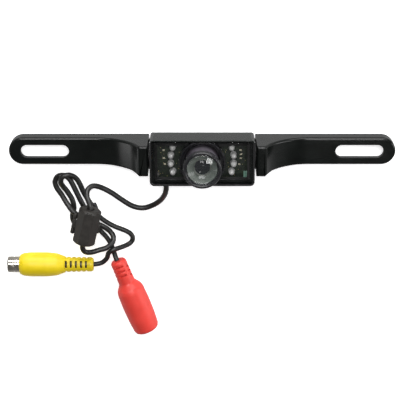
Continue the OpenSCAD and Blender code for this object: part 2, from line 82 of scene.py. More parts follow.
# ---------------------------------------------------------------- materials
class Nodes:
    """A material under construction: short calls that add and link shader nodes."""

    def __init__(self, name):
        self.material = bpy.data.materials.new(name)
        self.material.use_nodes = True
        self.tree = self.material.node_tree
        self.shader = self.tree.nodes["Principled BSDF"]
        self.place = self.add("ShaderNodeTexCoord").outputs["Object"]

    def add(self, kind, **settings):
        made = self.tree.nodes.new(kind)
        for key, value in settings.items():
            setattr(made, key, value)
        return made

    def link(self, source, target):
        self.tree.links.new(source, target)

    def noise(self, size_mm, detail=3.0, rough=0.55):
        made = self.add("ShaderNodeTexNoise")
        made.inputs["Scale"].default_value = 1 / (size_mm * MM)
        made.inputs["Detail"].default_value = detail
        made.inputs["Roughness"].default_value = rough
        self.link(self.place, made.inputs["Vector"])
        return made.outputs["Fac"]

    def cells(self, size_mm, feature="F1"):
        made = self.add("ShaderNodeTexVoronoi", feature=feature)
        made.inputs["Scale"].default_value = 1 / (size_mm * MM)
        self.link(self.place, made.inputs["Vector"])
        return made.outputs["Distance"]

    def remap(self, value, low_in, high_in, low_out, high_out):
        made = self.add("ShaderNodeMapRange")
        for socket, number in zip(made.inputs[1:5], (low_in, high_in, low_out, high_out)):
            socket.default_value = number
        self.link(value, made.inputs["Value"])
        return made.outputs["Result"]

    def mix(self, factor, low, high):
        made = self.add("ShaderNodeMix", data_type="RGBA")
        self.link(factor, made.inputs["Factor"])
        for socket, colour in ((made.inputs["A"], low), (made.inputs["B"], high)):
            if isinstance(colour, tuple):
                socket.default_value = (*colour, 1)
            else:
                self.link(colour, socket)
        return made.outputs["Result"]

    def edges(self, radius_mm, low=0.02, high=0.25):
        """A mask that is 1 on rounded edges and 0 on flat faces."""
        bevel = self.add("ShaderNodeBevel", samples=6)
        bevel.inputs["Radius"].default_value = radius_mm * MM
        geometry = self.add("ShaderNodeNewGeometry")
        dot = self.add("ShaderNodeVectorMath", operation="DOT_PRODUCT")
        self.link(bevel.outputs["Normal"], dot.inputs[0])
        self.link(geometry.outputs["Normal"], dot.inputs[1])
        return self.remap(dot.outputs["Value"], 1 - low, 1 - high, 0, 1)

    def bump(self, height, strength, depth_mm, below=None):
        made = self.add("ShaderNodeBump")
        made.inputs["Strength"].default_value = strength
        made.inputs["Distance"].default_value = depth_mm * MM
        self.link(height, made.inputs["Height"])
        if below is not None:
            self.link(below, made.inputs["Normal"])
        return made.outputs["Normal"]


def shade(colour, factor):
    return tuple(min(1.0, c * factor) for c in colour)


def solid(
    name, colour, rough, metal=0.0, vary=0.25, patch_mm=6.0, rough_vary=0.08, grain_mm=0.25,
    grain=0.25, depth_mm=0.02, wear=None, wear_mm=0.25, **sockets
):
    """An opaque finish: mottled colour, uneven gloss, fine grain and, if asked, worn edges."""
    n = Nodes(name)
    patch = n.noise(patch_mm, 4, 0.6)
    fine = n.noise(grain_mm, 2, 0.5)
    tone = n.mix(n.remap(patch, 0.3, 0.7, 0, 1), shade(colour, 1 - vary), shade(colour, 1 + vary))
    if wear is not None:
        worn = n.edges(wear_mm)
        broken = n.remap(n.noise(1.2, 4, 0.7), 0.38, 0.6, 0.15, 1)
        amount = n.add("ShaderNodeMath", operation="MULTIPLY")
        n.link(worn, amount.inputs[0])
        n.link(broken, amount.inputs[1])
        tone = n.mix(amount.outputs["Value"], tone, wear)
    n.link(tone, n.shader.inputs["Base Color"])
    gloss = n.remap(patch, 0.3, 0.7, max(0.02, rough - rough_vary), min(1.0, rough + rough_vary))
    n.link(gloss, n.shader.inputs["Roughness"])
    wide = n.bump(patch, 0.2, depth_mm * 3)
    n.link(n.bump(fine, grain, depth_mm, wide), n.shader.inputs["Normal"])
    n.shader.inputs["Metallic"].default_value = metal
    for socket, value in sockets.items():
        n.shader.inputs[socket.replace("_", " ")].default_value = value
    return n.material


def border_alpha(n, inside, half_width, low_edge):
    """Opacity that rises to nearly full in a printed black border along the sides and the bottom."""
    axes = n.add("ShaderNodeSeparateXYZ")
    n.link(n.place, axes.inputs["Vector"])
    side = n.add("ShaderNodeMath", operation="ABSOLUTE")
    n.link(axes.outputs["X"], side.inputs[0])
    beyond_side = n.remap(side.outputs["Value"], half_width, half_width + 0.1 * MM, inside, 0.97)
    beyond_low = n.remap(axes.outputs["Y"], low_edge, low_edge - 0.1 * MM, inside, 0.97)
    most = n.add("ShaderNodeMath", operation="MAXIMUM")
    n.link(beyond_side, most.inputs[0])
    n.link(beyond_low, most.inputs[1])
    return most.outputs["Value"]


def clear(name, colour, alpha, rough, ior, smear=0.5, border=None):
    """A see-through finish: tinted, with faint smears and dust in its gloss."""
    n = Nodes(name)
    patch = n.noise(5.0, 4, 0.6)
    tone = n.mix(patch, shade(colour, 0.8), shade(colour, 1.25))
    n.link(tone, n.shader.inputs["Base Color"])
    n.link(n.remap(patch, 0.35, 0.75, rough, rough + 0.06 * smear), n.shader.inputs["Roughness"])
    n.shader.inputs["IOR"].default_value = ior
    n.shader.inputs["Alpha"].default_value = alpha
    if border is not None:
        n.link(border_alpha(n, alpha, *border), n.shader.inputs["Alpha"])
    return n.material


def board_finish(name, dark, light):
    """Solder-masked board: copper traces show as lighter paths under the mask, with small vias."""
    n = Nodes(name)
    paths = n.remap(n.cells(2.3, "DISTANCE_TO_EDGE"), 0.05, 0.09, 1, 0)
    traced = n.mix(paths, dark, light)
    vias = n.remap(n.cells(1.7), 0.10, 0.14, 1, 0)
    tone = n.mix(vias, traced, (0.55, 0.47, 0.22))
    speck = n.remap(n.noise(0.5, 3), 0.6, 0.68, 0, 1)
    n.link(n.mix(speck, tone, shade(light, 1.7)), n.shader.inputs["Base Color"])
    n.link(n.remap(paths, 0, 1, 0.42, 0.3), n.shader.inputs["Roughness"])
    n.link(n.bump(paths, 0.5, 0.03), n.shader.inputs["Normal"])
    return n.material


def make_materials():
    return {
        "bar_plastic": solid("bar_plastic", (0.0028, 0.0038, 0.0033), 0.22, vary=0.3, patch_mm=9,
                             rough_vary=0.05, grain_mm=0.22, grain=0.2, depth_mm=0.015,
                             wear=(0.012, 0.013, 0.013), IOR=1.4),
        "housing_plastic": solid("housing_plastic", (0.006, 0.0078, 0.007), 0.24, patch_mm=7,
                                 rough_vary=0.05, grain_mm=0.18, grain=0.12,
                                 wear=(0.016, 0.018, 0.017), IOR=1.38),
        "smoked_window": clear("smoked_window", (0.002, 0.002, 0.0025), 0.12, 0.05, 2.3,
                               border=(25.3 * MM, -10.9 * MM)),
        "seal_rubber": solid("seal_rubber", (0.01, 0.01, 0.01), 0.7, grain=0.5),
        "circuit_board": board_finish("circuit_board", (0.008, 0.014, 0.009), (0.022, 0.038, 0.018)),
        "lamp_resin": clear("lamp_resin", (1.0, 1.0, 0.98), 0.55, 0.06, 1.8),
        "chip_body": solid("chip_body", (0.62, 0.58, 0.42), 0.45, patch_mm=0.8, vary=0.35),
        "sensor_body": solid("sensor_body", (0.22, 0.42, 0.33), 0.35, patch_mm=1.2, vary=0.3),
        "screw_steel": solid("screw_steel", (0.55, 0.54, 0.52), 0.3, metal=1.0, grain_mm=0.1,
                             patch_mm=1.5),
        "gloss_black": solid("gloss_black", (0.012, 0.012, 0.014), 0.26, patch_mm=3,
                             grain_mm=0.12, grain=0.12, wear=(0.02, 0.02, 0.021), wear_mm=0.15),
        "lens_glass": clear("lens_glass", (0.02, 0.03, 0.028), 0.28, 0.01, 2.3, smear=0.2),
        "insert_brass": solid("insert_brass", (0.66, 0.47, 0.2), 0.28, metal=1.0, patch_mm=1.2),
        "connector_white": solid("connector_white", (0.72, 0.68, 0.56), 0.5, vary=0.1),
        "washer_nylon": solid("washer_nylon", (0.008, 0.008, 0.008), 0.5, vary=0.2, patch_mm=1.5),
        "cable_jacket": solid("cable_jacket", (0.011, 0.0105, 0.01), 0.38, patch_mm=4,
                              grain_mm=0.3, grain=0.15, wear=(0.02, 0.02, 0.02)),
        "sleeve_black": solid("sleeve_black", (0.012, 0.012, 0.012), 0.42, grain=0.4),
        "ferrite_case": solid("ferrite_case", (0.019, 0.0165, 0.014), 0.5, vary=0.35, patch_mm=3,
                              grain_mm=0.3, grain=0.6, depth_mm=0.05, wear=(0.045, 0.04, 0.032)),
        "ferrite_core": solid("ferrite_core", (0.03, 0.03, 0.032), 0.5, grain_mm=0.2, grain=0.7),
        "yellow_vinyl": solid("yellow_vinyl", (0.74, 0.56, 0.003), 0.42, vary=0.06, patch_mm=8,
                              grain_mm=0.35, grain=0.2, wear=(0.78, 0.62, 0.04)),
        "red_vinyl": solid("red_vinyl", (0.7, 0.045, 0.032), 0.45, vary=0.07, patch_mm=8,
                           grain_mm=0.35, grain=0.2, wear=(0.76, 0.09, 0.06)),
        "nickel": solid("nickel", (0.62, 0.58, 0.51), 0.22, metal=1.0, vary=0.12, patch_mm=2.5,
                        grain_mm=0.12, grain=0.15),
        "socket_black": solid("socket_black", (0.012, 0.012, 0.012), 0.4, grain=0.3),
        "insulator_white": solid("insulator_white", (0.8, 0.78, 0.72), 0.42, vary=0.08),
    }


MATERIALS = make_materials()
MATERIALS["lamp_cup"] = solid("lamp_cup", (1.0, 1.0, 0.96), 0.3, metal=0.15, vary=0.1,
                              patch_mm=0.8)
# The lens barrel's grey-purple base colour is a painted reflection: a diffuse stand-in for the gloss
# reflection of the overhead light along its upper side.
MATERIALS["barrel_painted_sheen"] = solid("barrel_painted_sheen", (0.07, 0.062, 0.075), 0.35, patch_mm=4, vary=0.15)
MATERIALS["retainer_satin"] = solid("retainer_satin", (0.5, 0.5, 0.46), 0.45, metal=1.0,
                                    patch_mm=1.5)
MATERIALS["cone_grey"] = solid("cone_grey", (0.36, 0.40, 0.36), 0.5, patch_mm=2, grain=0.3)
MATERIALS["coated_lens"] = clear("coated_lens", (0.03, 0.012, 0.03), 0.75, 0.02, 1.7, smear=0.2)


# ---------------------------------------------------------------- mesh helpers
def link(mesh, name):
    made = bpy.data.objects.new(name, mesh)
    bpy.context.scene.collection.objects.link(made)
    return made


def apply_modifiers(piece):
    evaluated = piece.evaluated_get(bpy.context.evaluated_depsgraph_get())
    mesh = bpy.data.meshes.new_from_object(evaluated)
    piece.modifiers.clear()
    piece.data = mesh
    return piece


def bevelled(piece, width_mm, steps, limit, angle):
    """Rounds the edges that the limit picks and weights the normals to the flat faces."""
    for polygon in piece.data.polygons:
        polygon.use_smooth = True
    bevel = piece.modifiers.new("round", "BEVEL")
    bevel.width = width_mm * MM
    bevel.segments = steps
    bevel.limit_method = limit
    bevel.angle_limit = math.radians(angle)
    bevel.use_clamp_overlap = False
    bevel.miter_outer = "MITER_ARC"
    weighted = piece.modifiers.new("normals", "WEIGHTED_NORMAL")
    weighted.keep_sharp = True
    weighted.weight = 80
    return apply_modifiers(piece)


def soften(piece, width_mm, angle=30):
    """Rounds every edge sharper than the angle, in degrees."""
    return bevelled(piece, width_mm, 2, "ANGLE", angle)


def welded(source):
    """A cleaned copy of a CAD mesh: one vertex per corner, flat regions as single faces."""
    bm = bmesh.new()
    bm.from_mesh(source.data)
    bmesh.ops.remove_doubles(bm, verts=bm.verts, dist=1e-6)
    bmesh.ops.dissolve_limit(bm, angle_limit=math.radians(0.6), verts=bm.verts, edges=bm.edges)
    bmesh.ops.recalc_face_normals(bm, faces=bm.faces)
    mesh = bpy.data.meshes.new(source.name + "_fine")
    bm.to_mesh(mesh)
    bm.free()
    return mesh


def rounded(piece, width_mm, share, steps, angle=25):
    """Rounds every sharp edge by the width times share(middle in mm, its two face normals)."""
    bm = bmesh.new()
    bm.from_mesh(piece.data)
    weight = bm.edges.layers.float.new("bevel_weight_edge")
    for edge in bm.edges:
        if len(edge.link_faces) == 2 and edge.calc_face_angle(0) > math.radians(angle):
            middle = (edge.verts[0].co + edge.verts[1].co) / 2 / MM
            edge[weight] = share(middle, *(face.normal for face in edge.link_faces))
    bm.to_mesh(piece.data)
    bm.free()
    return bevelled(piece, width_mm, steps, "WEIGHT", angle)


def dress(piece, body, slot, *nodes, finish=None):
    """Gives a finished piece its material (the finish, else the slot's), puts it under its body and
    hides the CAD nodes that it stands in for.
    """
    piece.data.materials.clear()
    piece.data.materials.append(MATERIALS[finish or slot])
    if body:
        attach(piece, body)
    if nodes:
        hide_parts(*nodes)
    return piece


def refined(node, name, body, slot, width_mm):
    """A CAD piece with softened edges, dressed and standing for its node."""
    piece = soften(link(welded(NODES[node]), name), width_mm)
    return dress(piece, body, slot, node)


def fillet(points, radius, steps=4, closed=False):
    """Rounds the corners of a profile, each by no more than 45% of its shorter side."""
    count = len(points)
    out = []
    for i, corner in enumerate(points):
        if not closed and i in (0, count - 1):
            out.append(corner)
            continue
        here = Vector(corner)
        before = Vector(points[i - 1]) - here
        after = Vector(points[(i + 1) % count]) - here
        reach = min(radius, 0.45 * before.length, 0.45 * after.length)
        start = here + before.normalized() * reach
        end = here + after.normalized() * reach
        for k in range(steps + 1):
            t = k / steps
            point = (1 - t) ** 2 * start + 2 * t * (1 - t) * here + t * t * end
            out.append((point.x, point.y))
    return out


def lathe_mesh(name, profile, sides=96, closed=False):
    """Turns a profile of (radius, height) in mm about local Z. A closed profile makes a ring."""
    bm = bmesh.new()
    rings = []
    for radius, height in profile:
        if radius < 1e-6:
            rings.append([bm.verts.new((0, 0, height * MM))] * sides)
            continue
        turn = [2 * math.pi * k / sides for k in range(sides)]
        rings.append([bm.verts.new((radius * MM * math.cos(a), radius * MM * math.sin(a), height * MM))
                      for a in turn])
    count = len(rings)
    for i in range(count if closed else count - 1):
        low, high = rings[i], rings[(i + 1) % count]
        for k in range(sides):
            m = (k + 1) % sides
            corners = []
            for vert in (low[k], low[m], high[m], high[k]):
                if vert not in corners:
                    corners.append(vert)
            if len(corners) > 2:
                bm.faces.new(corners)
    bmesh.ops.recalc_face_normals(bm, faces=bm.faces)
    for face in bm.faces:
        face.smooth = True
    mesh = bpy.data.meshes.new(name)
    bm.to_mesh(mesh)
    bm.free()
    return mesh


def lathe(name, profile, place=None, radius=0.15, closed=False, steps=4):
    """A turned piece with the corners of its profile rounded, set down at a place."""
    mesh = lathe_mesh(name, fillet(profile, radius, steps, closed), closed=closed)
    mesh.transform(place or Matrix.Identity(4))
    return link(mesh, name)


def round_ring(name, radius, height, thick):
    """A ring of round section: its centre line's radius and height, and the section's radius."""
    turn = (2 * math.pi * k / 16 for k in range(16))
    section = [(radius + thick * math.cos(a), height + thick * math.sin(a)) for a in turn]
    return link(lathe_mesh(name, section, closed=True), name)


def boxes_mesh(name, boxes, place=None):
    """One mesh of several boxes, each given by its low and high corner in mm."""
    bm = bmesh.new()
    for low, high in boxes:
        size = Vector(high) - Vector(low)
        middle = (Vector(high) + Vector(low)) / 2
        shape = Matrix.Translation(middle * MM) @ Matrix.Diagonal((*(size * MM), 1))
        bmesh.ops.create_cube(bm, size=1, matrix=shape)
    mesh = bpy.data.meshes.new(name)
    bm.to_mesh(mesh)
    bm.free()
    mesh.transform(place or Matrix.Identity(4))
    return mesh


def cut(piece, cutter_mesh):
    """Takes the cutter's shape out of the piece."""
    cutter = link(cutter_mesh, piece.name + "_cutter")
    boolean = piece.modifiers.new("cut", "BOOLEAN")
    boolean.operation = "DIFFERENCE"
    boolean.solver = "EXACT"
    boolean.object = cutter
    apply_modifiers(piece)
    bpy.data.objects.remove(cutter)


def joined(name, meshes):
    bm = bmesh.new()
    for mesh in meshes:
        bm.from_mesh(mesh)
    mesh = bpy.data.meshes.new(name)
    bm.to_mesh(mesh)
    bm.free()
    return link(mesh, name)


def moved(mesh, x, y, z, turn=0.0):
    copy = mesh.copy()
    copy.transform(Matrix.Translation(Vector((x, y, z)) * MM) @ Matrix.Rotation(turn, 4, "Z"))
    return copy


# ---------------------------------------------------------------- cords
CABLE_R = 1.4
LEAD_R = 1.3
GLAND_EXIT = (-18.4, -14.5, 13.0)
MAIN_ROUTE = [
    (-18.4, -12.2, 13), (-18.4, -15.6, 12.8), (-18.6, -19.2, 11.2), (-19.7, -23.2, 8.2),
    (-22, -27.2, 4.6), (-26, -30.7, 2), (-31, -32.4, 1.4), (-36.5, -31.3, 1.4), (-42, -27.8, 1.4),
    (-47.5, -23.8, 1.4), (-52.8, -20.9, 1.6), (-56.8, -19.5, 3.4), (-59.3, -20.8, 5.8),
    (-59.6, -23.6, 8.4), (-58.3, -26.4, 10.6), (-57.6, -29.4, 11.7), (-59.7, -38.6, 11.8),
    (-61.9, -48.1, 11.7), (-62.5, -51.2, 11), (-61.3, -53.8, 9.9), (-58.2, -54.5, 8.8),
    (-54.2, -53.7, 7.7), (-50.3, -52.8, 6.7), (-47.5, -50.8, 5), (-46.8, -47.9, 3.4),
    (-48.6, -45.2, 2.4), (-51.3, -42.8, 2.8), (-54.8, -40.3, 4.3), (-59, -38.3, 4.4),
    (-63.6, -36.1, 4.4), (-67.3, -33.5, 4.5), (-70.7, -29.4, 2.7), (-73.5, -24.9, 1.4),
    (-75.9, -21, 1.4), (-76.6, -17.6, 1.4), (-74.9, -14.8, 1.4), (-71.8, -14.4, 1.4),
    (-69.2, -16.2, 1.4), (-67.4, -19.6, 1.4), (-65.8, -23.3, 1.4), (-64.2, -27, 1.4),
    (-62.4, -31, 1.4), (-60.9, -35.2, 1.4), (-60.5, -39.4, 1.4), (-63.2, -42.6, 1.4),
    (-66.7, -41.5, 1.4), (-68.2, -37.6, 1.4), (-67.3, -32.2, 1.4), (-68.1, -27.6, 1.4),
    (-70.4, -23.3, 1.4), (-72.6, -19.9, 2.2), (-73.4, -17, 3.9), (-72.2, -14.1, 4.4),
    (-68.8, -13.4, 3.8), (-65.7, -15.6, 2), (-63.7, -19.2, 1.4), (-62.2, -23, 1.4),
    (-60.3, -26.8, 1.4), (-57.9, -30.9, 1.5),
]
VIDEO_ROUTE = [
    (-55.4, -34.5, 1.3), (-53.8, -37.5, 1.3), (-50.4, -40.3, 1.3), (-46, -42.9, 1.3),
    (-41.2, -44.9, 1.3), (-38, -46.8, 1.3), (-36.7, -49.5, 1.3), (-38.1, -52.1, 1.6),
    (-42, -53.3, 4), (-46.6, -54, 6.6), (-49.3, -55.9, 6.4), (-50.4, -59.1, 6), (-53, -61.5, 6.1),
    (-56.4, -62.3, 6.4), (-59.4, -62.4, 6.4),
]
POWER_ROUTE = [
    (-58.1, -35, 1.3), (-57.1, -38.4, 1.3), (-55.8, -42, 1.3), (-53.6, -45.4, 1.3),
    (-51, -48.4, 1.3), (-49, -51.3, 1.7), (-47.6, -53.9, 3.1), (-46.4, -56.5, 5.3),
    (-45.3, -59, 7), (-44, -61.6, 7.5),
]


def catmull(points, steps):
    """A smooth line through the points, in metres."""
    p = [Vector(q) * MM for q in points]
    p = [2 * p[0] - p[1], *p, 2 * p[-1] - p[-2]]
    line = []
    for i in range(1, len(p) - 2):
        a, b, c, d = p[i - 1: i + 3]
        for k in range(steps):
            t = k / steps
            line.append(0.5 * (2 * b + (c - a) * t + (2 * a - 5 * b + 4 * c - d) * t * t
                               + (3 * b - a - 3 * c + d) * t ** 3))
    line.append(p[-2])
    return line


def tube(name, line, radius, sides=20):
    """A round tube along a line, with frames carried along it so that it does not twist."""
    bm = bmesh.new()
    rings = []
    across = Vector((0, 0, 1))
    for i, centre in enumerate(line):
        along = (line[min(i + 1, len(line) - 1)] - line[max(i - 1, 0)]).normalized()
        across = (across - along * across.dot(along)).normalized()
        other = along.cross(across)
        rings.append([
            bm.verts.new(centre + radius * (math.cos(a) * across + math.sin(a) * other))
            for a in (2 * math.pi * k / sides for k in range(sides))
        ])
    for low, high in zip(rings, rings[1:]):
        for k in range(sides):
            m = (k + 1) % sides
            bm.faces.new((low[k], low[m], high[m], high[k])).smooth = True
    bm.faces.new(rings[0])
    bm.faces.new(rings[-1])
    bmesh.ops.recalc_face_normals(bm, faces=bm.faces)
    mesh = bpy.data.meshes.new(name)
    bm.to_mesh(mesh)
    bm.free()
    return link(mesh, name)


def cord_line(route, radius_mm):
    """A cord's centre line, kept at least its radius above the floor."""
    line = catmull(route, 5)
    for point in line:
        point.z = max(point.z, radius_mm * MM)
    return line


main_line = cord_line(MAIN_ROUTE, CABLE_R)
video_line = cord_line(VIDEO_ROUTE, LEAD_R)
power_line = cord_line(POWER_ROUTE, LEAD_R)
main_cord = dress(tube("main_cord", main_line, CABLE_R * MM), None, "cable_jacket", "main_cable")
video_cord = dress(tube("video_cord", video_line, LEAD_R * MM), "bar", "cable_jacket", "video_lead")
power_cord = dress(tube("power_cord", power_line, LEAD_R * MM), "bar", "cable_jacket", "power_lead")
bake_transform(main_cord)

# ---------------------------------------------------------------- cable fittings
gland = lathe("gland_sleeve", [
    (1.4, 0), (1.9, 0), (2.2, 2.0), (2.2, 4.5), (2.35, 4.5), (2.35, 5.3), (1.4, 5.3),
], Matrix.Translation(Vector(GLAND_EXIT) * MM) @ Matrix.Rotation(-math.pi / 2, 4, "X"), closed=True)
dress(gland, "camera", "seal_rubber", "cable_gland")

SPLICE_FROM = Vector((-58.2, -30.3, 1.5))
SPLICE_TURN = math.radians(-72)
SPLICE_LENGTH = 5.4
SPLICE_HALF = 1.35


def sleeve(name, place, length, half_gap, radius, rings=14, sides=40):
    """A heat-shrunk sleeve: a flattened tube that necks in at both ends and puckers slightly."""
    bm = bmesh.new()
    made = []
    for i in range(rings + 1):
        t = i / rings
        end = min(t, 1 - t) * length
        shrink = 0.86 + 0.14 * min(1, end / 0.9) ** 0.6
        pucker = 1 + 0.012 * math.sin(9.0 * t) * math.sin(math.pi * t)
        ring = []
        for k in range(sides):
            a = 2 * math.pi * k / sides
            x = radius * math.cos(a) * shrink * pucker + math.copysign(half_gap, math.cos(a))
            y = radius * math.sin(a) * shrink * pucker
            ring.append(bm.verts.new(Vector((x, y, t * length)) * MM))
        made.append(ring)
    for low, high in zip(made, made[1:]):
        for k in range(sides):
            m = (k + 1) % sides
            bm.faces.new((low[k], low[m], high[m], high[k]))
    bm.faces.new(made[0])
    bm.faces.new(made[-1])
    bmesh.ops.recalc_face_normals(bm, faces=bm.faces)
    mesh = bpy.data.meshes.new(name)
    bm.to_mesh(mesh)
    bm.free()
    mesh.transform(place)
    return soften(link(mesh, name), 0.15, 50)


splice_place = (Matrix.Translation(SPLICE_FROM * MM) @ Matrix.Rotation(SPLICE_TURN, 4, "Z")
                @ Matrix.Rotation(math.pi / 2, 4, "X") @ Matrix.Rotation(math.pi / 2, 4, "Y"))
splice = sleeve("splice_tube", splice_place, SPLICE_LENGTH, SPLICE_HALF, 1.5)
dress(splice, "bar", "sleeve_black", "splice_sleeve")

ferrite_base = refined("ferrite_case_base", "ferrite_shell_lower", "bar", "ferrite_case", 0.35)
ferrite_lid = refined("ferrite_case_lid", "ferrite_shell_upper", "ferrite_lid", "ferrite_case", 0.35)

# ---------------------------------------------------------------- video socket
RCA_AXIS = Vector((-57.4, -62.4, 6.4))
RCA_LENGTH = 39
RCA_SLOTS = [3.3, 5.95, 8.6, 11.25, 13.9]
RCA_ROLL = math.radians(20)
rca_place = Matrix.Translation(RCA_AXIS * MM) @ Matrix.Rotation(-math.pi / 2, 4, "Y")
rca_slot_place = rca_place @ Matrix.Rotation(RCA_ROLL, 4, "Z")


def slot_boxes(places, from_axis, reach, sideways):
    """Boxes that cut one pair of opposite slots at each place along a strain relief."""
    boxes = []
    for low in places:
        for sign in (-1, 1):
            inner, outer = sign * from_axis, sign * (from_axis + 3)
            a, b = min(inner, outer), max(inner, outer)
            if sideways:
                boxes.append(((-reach, a, low), (reach, b, low + 1)))
            else:
                boxes.append(((a, -reach, low), (b, reach, low + 1)))
    return boxes


video_body = lathe("video_socket_grip", [
    (0, 0), (3.1, 0), (3.8, 0.9), (4.05, 14.4), (5.9, 19.4), (6.4, 24.5), (6.4, 33.5), (6.0, 37),
    (5.2, 38.6), (4.6, RCA_LENGTH), (4.05, RCA_LENGTH), (4.0, 31), (0, 31),
], rca_place, radius=0.9, steps=6)
cut(video_body, boxes_mesh("slots", slot_boxes(RCA_SLOTS, 2.6, 1.9, False)
                           + slot_boxes(RCA_SLOTS, 2.6, 1.9, True), rca_slot_place))
soften(video_body, 0.12, 40)
dress(video_body, "bar", "yellow_vinyl", "video_socket_body")
video_relief = lathe("video_relief_core", [
    (2.4, 3.1), (3.15, 3.1), (3.15, 15.1), (2.4, 15.1),
], rca_place, radius=0.02, steps=2, closed=True)
dress(video_relief, "bar", "cable_jacket")
video_shell = lathe("video_socket_sleeve", [
    (3.4, 31), (4.0, 31), (4.0, 39), (4.2, 39), (4.2, 41.6), (4.08, 41.75), (4.08, 42.1),
    (4.2, 42.25), (4.2, 44.6), (3.95, 45.2), (3.4, 45.2),
], rca_place, radius=0.12, closed=True)
dress(video_shell, "bar", "nickel", "video_socket_shell")
video_core = lathe("video_socket_core", [
    (1.6, 31), (3.4, 31), (3.4, 44.1), (3.0, 44.4), (2.1, 44.4), (1.6, 44.1),
], rca_place, closed=True)
dress(video_core, "bar", "insulator_white", "video_socket_insulator")
refined("video_socket_contact", "video_socket_centre", "bar", "nickel", 0.06)

# ---------------------------------------------------------------- power socket
DC_FROM = Vector((-44.6, -59.6, 7.5))
DC_TURN = math.radians(-69.4)
DC_LENGTH = 43
DC_SLOTS = [2.4, 5.0, 7.6]
dc_place = (Matrix.Translation(DC_FROM * MM) @ Matrix.Rotation(DC_TURN, 4, "Z")
            @ Matrix.Rotation(math.pi / 2, 4, "Y"))
power_body = lathe("power_socket_grip", [
    (0, 0), (3.4, 0), (4.2, 1.0), (4.4, 13.4), (5.4, 14.8), (6.7, 16.6), (7.2, 18.4), (7.5, 26),
    (7.3, 35), (6.8, 41.2), (6.2, 42.5), (5.2, DC_LENGTH), (3.95, DC_LENGTH), (3.9, 30), (0, 30),
], dc_place, radius=0.9, steps=6)
cut(power_body, boxes_mesh("slots", slot_boxes(DC_SLOTS, 2.9, 2.2, False)
                           + slot_boxes([s + 1.3 for s in DC_SLOTS], 2.9, 2.2, True), dc_place))
soften(power_body, 0.12, 40)
dress(power_body, "bar", "red_vinyl", "power_socket_body")
refined("power_socket_insulator", "power_socket_barrel", "bar", "socket_black", 0.12)
power_pin = lathe("power_socket_post", [
    (0, 30), (0.7, 30), (0.7, 32), (1.0, 32.1), (1.0, 40.2), (0.75, 41.05), (0.4, 41.35), (0, 41.4),
], dc_place, radius=0.3)
dress(power_pin, "bar", "nickel", "power_socket_pin")
refined("power_socket_spring", "power_socket_leaf", "bar", "nickel", 0.06)

# ---------------------------------------------------------------- bar and housing
BAR_ROUND = 1.25
NARROW_SHARE = 0.24
ARM_Y = 0.7
ARM_FRONT_LOW = 7
SLOT_X = (68, 93)
SLOT_HALF_Y = 4.5


def bar_share(middle, one, other):
    """Wide rounds along the front edges of the arms and knuckles, narrow ones elsewhere."""
    front, side = sorted((one, other), key=lambda normal: abs(normal.y))
    upright = abs(side.y) > 0.7 and front.z > 0.05 or math.hypot(side.x, side.y) > 0.9
    facing = middle.z > ARM_FRONT_LOW and max(one.z, other.z) > 0.05
    in_slot = abs(middle.y - ARM_Y) < SLOT_HALF_Y and SLOT_X[0] < abs(middle.x) < SLOT_X[1]
    return 1.0 if upright and facing and not in_slot else NARROW_SHARE


slotted_bar = rounded(link(welded(NODES["mounting_bar"]), "slotted_bar"), BAR_ROUND, bar_share, 5)
dress(slotted_bar, "bar", "bar_plastic", "mounting_bar")
refined("rear_housing", "camera_shell", "camera", "housing_plastic", 0.25)
refined("front_window", "smoked_cover", "camera", "smoked_window", 0.2)
refined("light_shroud", "lens_shroud", "camera", "gloss_black", 0.12)
refined("window_gasket", "cover_gasket", "camera", "seal_rubber", 0.1)
refined("board_screws", "cover_screws", "camera", "screw_steel", 0.06)
refined("pivot_screws", "tilt_screws", "camera", "screw_steel", 0.12)
refined("friction_washers", "tilt_washers", "camera", "washer_nylon", 0.08)

# ---------------------------------------------------------------- lens
CELL_R = 6.7
BORE_R = 7.5
TUBE_R = 8.3
CONE_LOW = 30.6
CONE_TOP = 34.2
RING_LOW = 34.0
barrel = lathe("barrel_tube", [
    (CELL_R, 9.2), (9.0, 9.2), (9.0, 10.6), (TUBE_R, 10.6), (TUBE_R, 33.2), (8.12, 33.35),
    (8.12, 33.6), (TUBE_R, 33.75), (TUBE_R, RING_LOW), (BORE_R, RING_LOW), (BORE_R, CONE_LOW),
    (CELL_R, CONE_LOW),
], closed=True, radius=0.12)
# The barrel wears the painted-reflection grey-purple instead of its gloss black.
dress(barrel, "camera", "gloss_black", "lens_barrel", finish="barrel_painted_sheen")
ring = lathe("barrel_ring", [
    (7.8, RING_LOW), (9.7, RING_LOW), (9.7, 35.7), (9.1, 36.6), (8.25, 36.6), (7.8, 36.15),
], closed=True, radius=0.45, steps=5)
dress(ring, "camera", "gloss_black", "lens_ring")

GLASS_R = 7.78
DOME_R = 36.0
DOME_TOP = 36.35


def dome(radius, low, top, curve, count=14):
    """The profile of a lens with a flat back and a domed front."""
    points = [(0, low), (radius, low)]
    for i in range(count, -1, -1):
        r = radius * i / count
        points.append((r, top - curve + math.sqrt(curve * curve - r * r)))
    return points


glass = link(lathe_mesh("cover_glass", dome(GLASS_R, 34.45, DOME_TOP, DOME_R)), "cover_glass")
dress(glass, "camera", "lens_glass", "front_glass")

